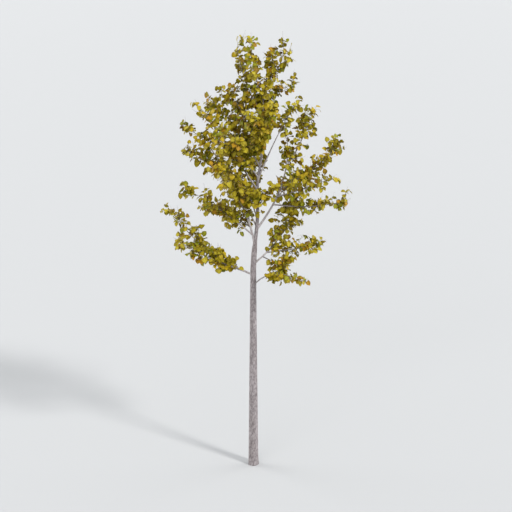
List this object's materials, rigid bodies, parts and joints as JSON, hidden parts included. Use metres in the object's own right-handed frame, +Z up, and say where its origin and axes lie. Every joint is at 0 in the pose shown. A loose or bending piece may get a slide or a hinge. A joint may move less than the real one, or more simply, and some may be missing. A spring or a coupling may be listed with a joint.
{
  "type": "linden sapling",
  "caption": "Young linden tree in yellow-olive autumn leaf, with a straight tapering trunk, a fork half way up, thin boughs bare near the trunk and an open, narrow crown.",
  "frame": {"origin": "centre of the flat cut through the trunk at ground level", "axes": "+Z up along the trunk, +X to the right and +Y away from the viewer as the tree is seen in the picture"},
  "size_m": [2.5792, 2.023, 5.9835],
  "materials": {
    "bark": "matt, finely cracked bark",
    "foliage": "matt leaf"
  },
  "bodies": {
    "root": {"trunk": "bark", "bough_lower_left": "bark", "leaves_lower_left": "foliage", "bough_lower_left_out": "bark", "leaves_lower_left_out": "foliage", "bough_lower_right": "bark", "leaves_lower_right": "foliage", "bough_right_low": "bark", "leaves_right_low": "foliage", "bough_right_spread": "bark", "leaves_right_spread": "foliage", "bough_right_under": "bark", "leaves_right_under": "foliage", "bough_right_main": "bark", "leaves_right_main": "foliage", "bough_right_reach": "bark", "leaves_right_reach": "foliage", "bough_right_out": "bark", "leaves_right_out": "foliage", "bough_right_up": "bark", "leaves_right_up": "foliage", "bough_right_fork": "bark", "leaves_right_fork": "foliage", "bough_right_inner": "bark", "leaves_right_inner": "foliage", "leaves_right_top": "foliage", "leaves_top_right": "foliage", "leaves_leader": "foliage", "leaves_top_left": "foliage", "leaves_top_left_out": "foliage", "bough_left_main": "bark", "leaves_left_main": "foliage", "bough_left_low": "bark", "leaves_left_low": "foliage", "bough_left_upper": "bark", "leaves_left_upper": "foliage", "bough_left_high": "bark", "leaves_left_high": "foliage", "bough_left_top": "bark", "leaves_left_top": "foliage", "leaves_left_inner": "foliage", "bough_front_left": "bark", "leaves_front_left": "foliage", "bough_front_low": "bark", "leaves_front_low": "foliage", "bough_front_mid": "bark", "leaves_front_mid": "foliage", "leaves_front_high": "foliage", "leaves_front_right": "foliage", "bough_back_left": "bark", "leaves_back_left": "foliage", "bough_back": "bark", "leaves_back": "foliage", "bough_back_right": "bark", "leaves_back_right": "foliage", "leaves_back_low": "foliage", "bough_back_left_high": "bark", "leaves_back_left_high": "foliage", "bough_back_right_high": "bark", "leaves_back_right_high": "foliage"}
  },
  "joints": []
}
